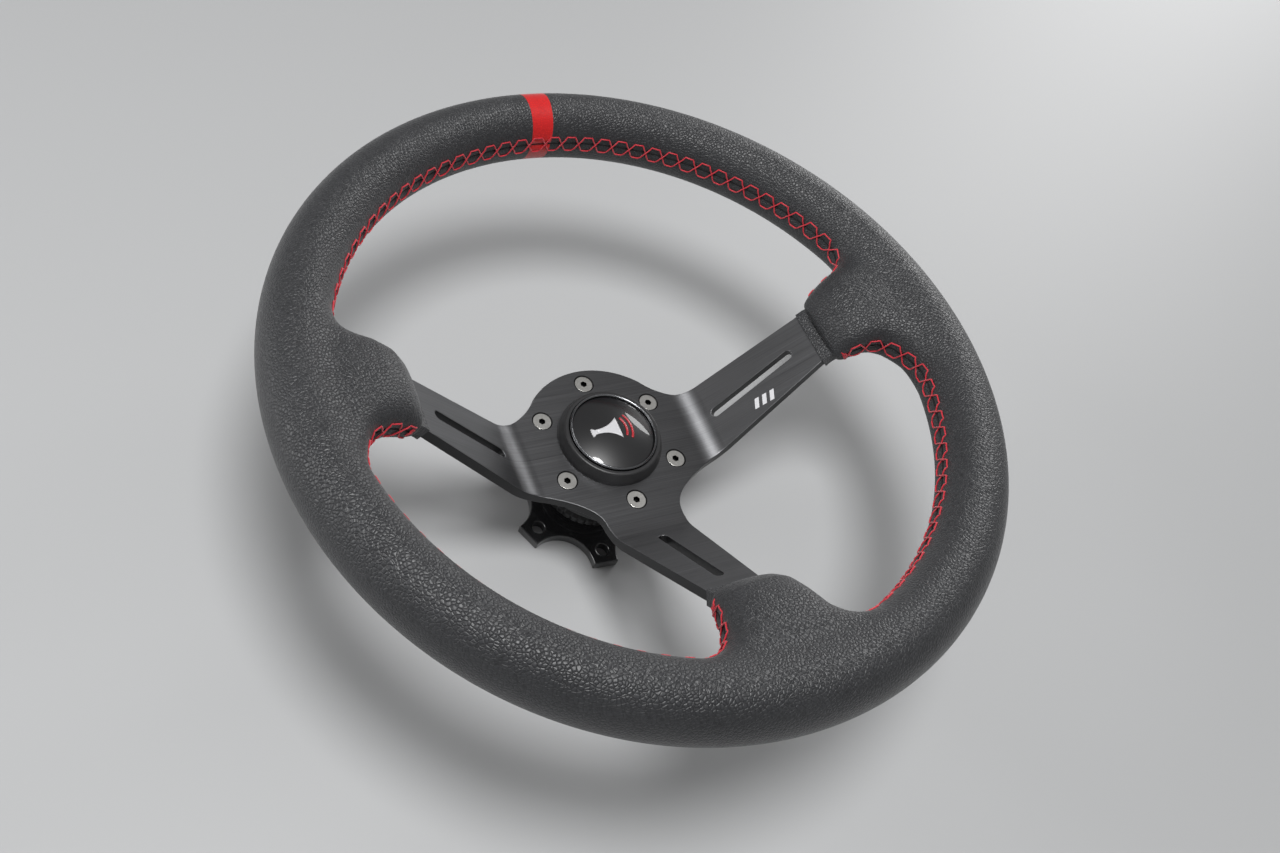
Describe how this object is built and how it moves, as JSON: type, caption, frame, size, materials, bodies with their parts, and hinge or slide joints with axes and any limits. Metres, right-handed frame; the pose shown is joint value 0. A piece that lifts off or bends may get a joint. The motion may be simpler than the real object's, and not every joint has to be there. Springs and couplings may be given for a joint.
{
  "type": "quick release steering wheel",
  "caption": "Deep-dish leather-bound steering wheel with slotted metal spokes, a horn button and a ball-lock quick release on a lobed column flange.",
  "frame": {"origin": "centre of the column flange's rear face, on the steering axis", "axes": "+Z along the steering axis towards the driver, +Y to the twelve o'clock mark, +X to the right spoke"},
  "size_m": [0.35, 0.35, 0.137],
  "materials": {
    "gloss_black_metal": "gloss",
    "satin_black_metal": "satin anodised",
    "bright_steel": "ground",
    "brass": "turned",
    "black_plastic": "satin",
    "brushed_spokes": "brushed and anodised gunmetal",
    "grip_leather": "pebbled grain",
    "mark_leather": "smooth",
    "rim_foam": "moulded",
    "nickel_screws": "nickel plated",
    "emblem_gloss": "domed clear coat"
  },
  "bodies": {
    "column_half": {"column_flange": "gloss_black_metal", "spline_spigot": "bright_steel", "contact_insulator": "black_plastic", "contact_terminal": "brass", "contact_spring": "bright_steel"},
    "feed_pin": {"contact_pin": "brass"},
    "wheel": {"release_body": "satin_black_metal", "collar_spring": "bright_steel", "retaining_ring": "bright_steel", "contact_seat": "black_plastic", "contact_disc": "brass", "spoke_plate": "brushed_spokes", "rim_core": "bright_steel", "spoke_rivet_right": "bright_steel", "spoke_rivet_left": "bright_steel", "spoke_rivet_bottom": "bright_steel", "spoke_pad_right": "grip_leather", "spoke_pad_left": "grip_leather", "spoke_pad_bottom": "grip_leather", "grip_upper_right": "grip_leather", "grip_upper_left": "grip_leather", "grip_lower_left": "grip_leather", "grip_lower_right": "grip_leather", "centre_mark": "mark_leather", "rim_foam_upper": "rim_foam", "rim_foam_lower_left": "rim_foam", "rim_foam_lower_right": "rim_foam", "wheel_screw_1": "nickel_screws", "wheel_screw_2": "nickel_screws", "wheel_screw_3": "nickel_screws", "wheel_screw_4": "nickel_screws", "wheel_screw_5": "nickel_screws", "wheel_screw_6": "nickel_screws", "horn_bezel": "black_plastic", "horn_cup": "black_plastic", "horn_contact_plate": "brass", "horn_spring": "bright_steel"},
    "collar": {"release_collar": "satin_black_metal"},
    "horn_button": {"horn_cap": "black_plastic", "horn_ring": "nickel_screws", "horn_emblem": "emblem_gloss", "horn_stud": "brass"},
    "ball_1": {"lock_ball_1": "bright_steel"},
    "ball_2": {"lock_ball_2": "bright_steel"},
    "ball_3": {"lock_ball_3": "bright_steel"},
    "ball_4": {"lock_ball_4": "bright_steel"},
    "ball_5": {"lock_ball_5": "bright_steel"},
    "ball_6": {"lock_ball_6": "bright_steel"}
  },
  "joints": [
    {"name": "wheel_pull_off", "type": "slide", "parent": "column_half", "child": "wheel", "axis": [0, 0, 1], "range_m": [0, 0.05]},
    {"name": "collar_slide", "type": "slide", "parent": "wheel", "child": "collar", "axis": [0, 0, 1], "range_m": [-0.006, 0], "stiffness_N_per_m": 900, "springref_m": -0.012, "deforming": ["collar_spring"]},
    {"name": "horn_press", "type": "slide", "parent": "wheel", "child": "horn_button", "axis": [0, 0, 1], "range_m": [-0.002, 0], "stiffness_N_per_m": 1500, "springref_m": 0.002, "deforming": ["horn_spring"]},
    {"name": "feed_pin_slide", "type": "slide", "parent": "column_half", "child": "feed_pin", "axis": [0, 0, 1], "range_m": [-0.0015, 0], "stiffness_N_per_m": 300, "springref_m": 0.001, "deforming": ["contact_spring"]},
    {"name": "ball_1_slide", "type": "slide", "parent": "wheel", "child": "ball_1", "axis": [1, 0, 0], "range_m": [-0.0016, 0]},
    {"name": "ball_2_slide", "type": "slide", "parent": "wheel", "child": "ball_2", "axis": [0.5, 0.866, 0], "range_m": [-0.0016, 0]},
    {"name": "ball_3_slide", "type": "slide", "parent": "wheel", "child": "ball_3", "axis": [-0.5, 0.866, 0], "range_m": [-0.0016, 0]},
    {"name": "ball_4_slide", "type": "slide", "parent": "wheel", "child": "ball_4", "axis": [-1, 0, 0], "range_m": [-0.0016, 0]},
    {"name": "ball_5_slide", "type": "slide", "parent": "wheel", "child": "ball_5", "axis": [-0.5, -0.866, 0], "range_m": [-0.0016, 0]},
    {"name": "ball_6_slide", "type": "slide", "parent": "wheel", "child": "ball_6", "axis": [0.5, -0.866, 0], "range_m": [-0.0016, 0]}
  ],
  "couplings": [
    {"joint": "ball_1_slide", "follows": "collar_slide", "ratio": 0.26667},
    {"joint": "ball_2_slide", "follows": "collar_slide", "ratio": 0.26667},
    {"joint": "ball_3_slide", "follows": "collar_slide", "ratio": 0.26667},
    {"joint": "ball_4_slide", "follows": "collar_slide", "ratio": 0.26667},
    {"joint": "ball_5_slide", "follows": "collar_slide", "ratio": 0.26667},
    {"joint": "ball_6_slide", "follows": "collar_slide", "ratio": 0.26667}
  ]
}
